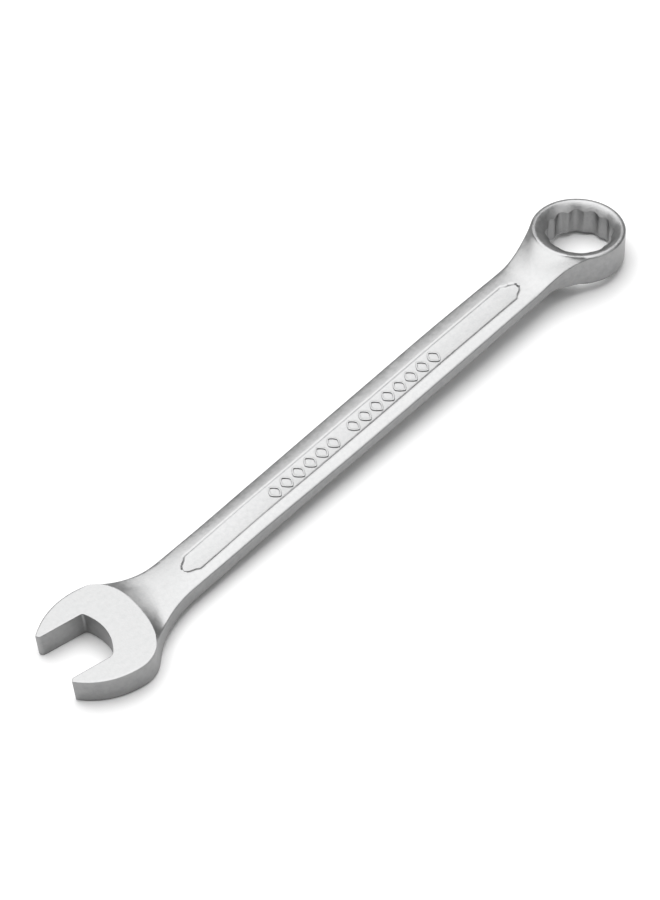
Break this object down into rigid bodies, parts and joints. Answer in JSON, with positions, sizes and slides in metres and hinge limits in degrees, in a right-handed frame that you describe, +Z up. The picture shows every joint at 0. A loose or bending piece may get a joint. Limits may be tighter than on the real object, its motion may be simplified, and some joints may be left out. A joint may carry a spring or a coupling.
{
  "type": "combination wrench",
  "caption": "Combination wrench: an open jaw set at an angle on one end of a flat panelled shank, and a tilted twelve-point ring on the other.",
  "frame": {"origin": "under the middle of the tool, on the level of the ring's lowest edge", "axes": "+X along the shank from the open end to the ring end, +Z up out of the face with the raised marks, +Y to the left looking along +X"},
  "size_m": [0.1784, 0.028, 0.0114],
  "materials": {
    "satin_chrome": "satin chrome plate over bead-blasted chrome vanadium steel"
  },
  "bodies": {
    "root": {"open_end": "satin_chrome", "shank": "satin_chrome", "ring_end": "satin_chrome"}
  },
  "joints": []
}
